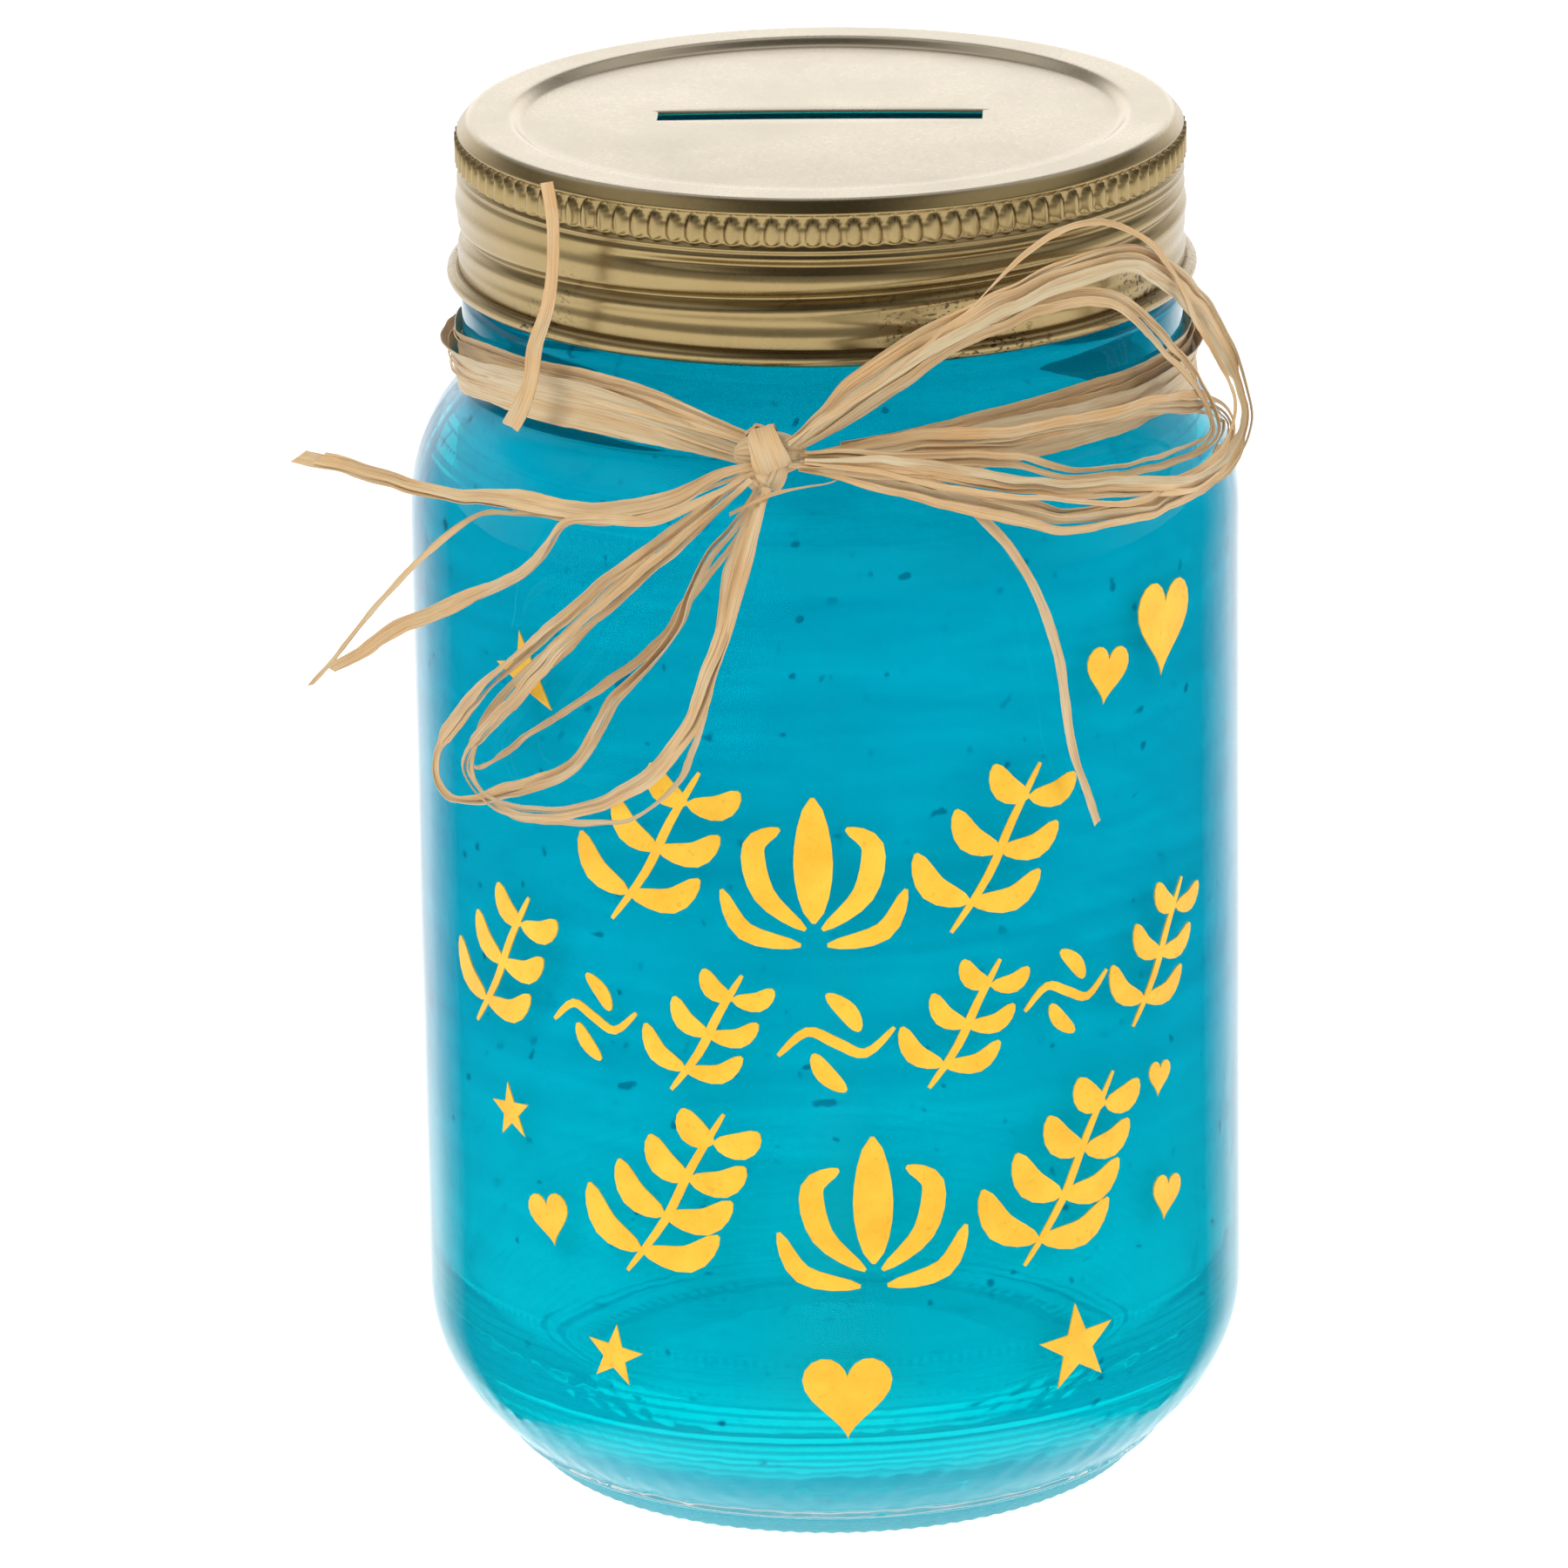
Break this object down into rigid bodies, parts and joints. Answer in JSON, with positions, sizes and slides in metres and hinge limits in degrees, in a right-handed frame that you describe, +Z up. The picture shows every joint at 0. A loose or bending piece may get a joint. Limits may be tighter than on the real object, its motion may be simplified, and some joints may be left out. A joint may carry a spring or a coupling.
{
  "type": "coin bank jar",
  "caption": "Screw-top glass savings jar with a slotted metal lid, an inside colour coat, gold printed motifs and a raffia bow tied round its neck.",
  "frame": {"origin": "centre of the foot ring, on the surface the jar stands on", "axes": "+Z up along the jar's axis, -Y towards the bow and the prints, +X to the right seen from the front"},
  "size_m": [0.0906, 0.0854, 0.1352],
  "materials": {
    "glass": "clear polished glass",
    "colour_coat": "translucent turquoise lacquer",
    "lid_metal": "satin gold lacquered tinplate",
    "liner": "soft matte sealing compound",
    "gold_print": "satin gold foil print",
    "raffia": "dry split palm fibre"
  },
  "bodies": {
    "jar": {"glass_jar": "glass", "paint_coat": "colour_coat", "star_prints": "gold_print", "heart_prints": "gold_print", "flourish_top": "gold_print", "flourish_middle": "gold_print", "flourish_bottom": "gold_print", "raffia_knot": "raffia", "wrap_upper": "raffia", "wrap_lower": "raffia", "loop_right_high": "raffia", "loop_right_mid": "raffia", "loop_right_thin": "raffia", "loop_right_low": "raffia", "loop_left_outer": "raffia", "loop_left_inner": "raffia", "loop_left_third": "raffia", "loop_left_wide": "raffia", "tail_right": "raffia", "tail_thread": "raffia", "tail_left_wide": "raffia", "tail_left_thin": "raffia", "tail_left_low": "raffia", "end_upright": "raffia"},
    "liner": {"sealing_liner": "liner"},
    "lid": {"lid": "lid_metal"}
  },
  "joints": [
    {"name": "lid_lift", "type": "slide", "parent": "jar", "child": "liner", "axis": [0, 0, 1], "range_m": [0, 0.0255]},
    {"name": "lid_turn", "type": "hinge", "parent": "liner", "child": "lid", "pos_m": [0, 0, 0.127], "axis": [0, 0, 1], "range_deg": [0, 1440]}
  ],
  "couplings": [
    {"joint": "lid_lift", "follows": "lid_turn", "m_per_rad": 0.0010106}
  ]
}
